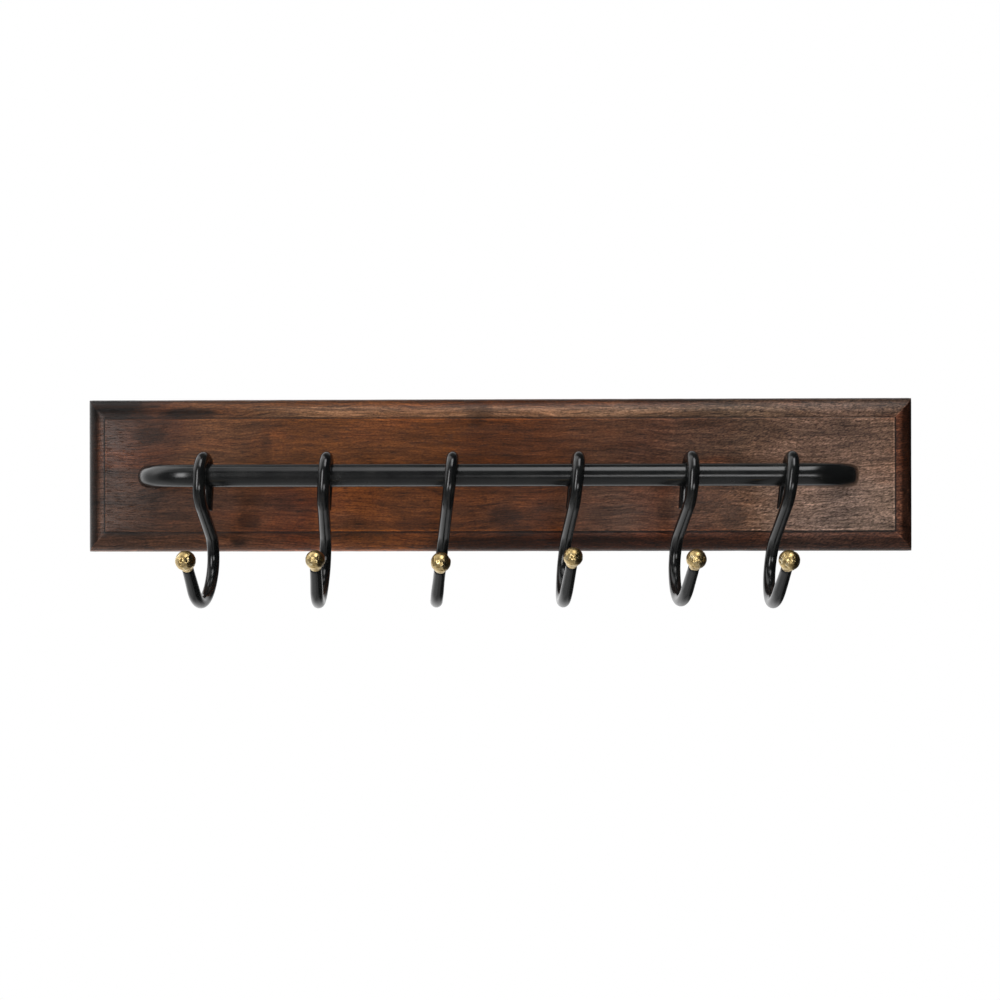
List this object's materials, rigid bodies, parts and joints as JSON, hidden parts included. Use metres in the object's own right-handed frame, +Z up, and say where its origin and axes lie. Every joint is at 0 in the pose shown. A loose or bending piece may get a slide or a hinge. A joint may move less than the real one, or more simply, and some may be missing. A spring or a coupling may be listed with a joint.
{
  "type": "wall hook rack",
  "caption": "Wall rack with a moulded wooden backboard, a round iron rail and S-shaped iron hooks tipped with brass balls that swing on the rail.",
  "frame": {"origin": "centre of the backboard's back face, on the wall", "axes": "+X along the board to the right as seen from the front, +Y into the wall, +Z up"},
  "size_m": [0.6096, 0.1239, 0.1505],
  "materials": {
    "wood": "satin, oiled, dark reddish brown with horizontal grain",
    "black_iron": "satin to gloss black, slightly hammered",
    "brass": "rough, pitted and hand finished",
    "zinc_steel": "zinc plated"
  },
  "bodies": {
    "rack": {"backboard": "wood", "rail_bar": "black_iron", "rail_washer_left": "zinc_steel", "rail_nut_left": "zinc_steel", "hanger_plate_left": "zinc_steel", "hanger_screw_left_top": "zinc_steel", "hanger_screw_left_bottom": "zinc_steel", "rail_washer_right": "zinc_steel", "rail_nut_right": "zinc_steel", "hanger_plate_right": "zinc_steel", "hanger_screw_right_top": "zinc_steel", "hanger_screw_right_bottom": "zinc_steel"},
    "hook_1": {"hook_1_rod": "black_iron", "hook_1_ball": "brass"},
    "hook_2": {"hook_2_rod": "black_iron", "hook_2_ball": "brass"},
    "hook_3": {"hook_3_rod": "black_iron", "hook_3_ball": "brass"},
    "hook_4": {"hook_4_rod": "black_iron", "hook_4_ball": "brass"},
    "hook_5": {"hook_5_rod": "black_iron", "hook_5_ball": "brass"},
    "hook_6": {"hook_6_rod": "black_iron", "hook_6_ball": "brass"}
  },
  "joints": [
    {"name": "hook_1_swing", "type": "hinge", "parent": "rack", "child": "hook_1", "pos_m": [-0.2062, -0.0714, -0.0012], "axis": [1, 0, 0], "range_deg": [-180, 15]},
    {"name": "hook_2_swing", "type": "hinge", "parent": "rack", "child": "hook_2", "pos_m": [-0.1213, -0.0714, -0.0012], "axis": [1, 0, 0], "range_deg": [-180, 15]},
    {"name": "hook_3_swing", "type": "hinge", "parent": "rack", "child": "hook_3", "pos_m": [-0.0344, -0.0714, -0.0012], "axis": [1, 0, 0], "range_deg": [-180, 15]},
    {"name": "hook_4_swing", "type": "hinge", "parent": "rack", "child": "hook_4", "pos_m": [0.0532, -0.0714, -0.0012], "axis": [1, 0, 0], "range_deg": [-180, 15]},
    {"name": "hook_5_swing", "type": "hinge", "parent": "rack", "child": "hook_5", "pos_m": [0.1322, -0.0714, -0.0012], "axis": [1, 0, 0], "range_deg": [-180, 15]},
    {"name": "hook_6_swing", "type": "hinge", "parent": "rack", "child": "hook_6", "pos_m": [0.2015, -0.0714, -0.0012], "axis": [1, 0, 0], "range_deg": [-180, 15]}
  ]
}
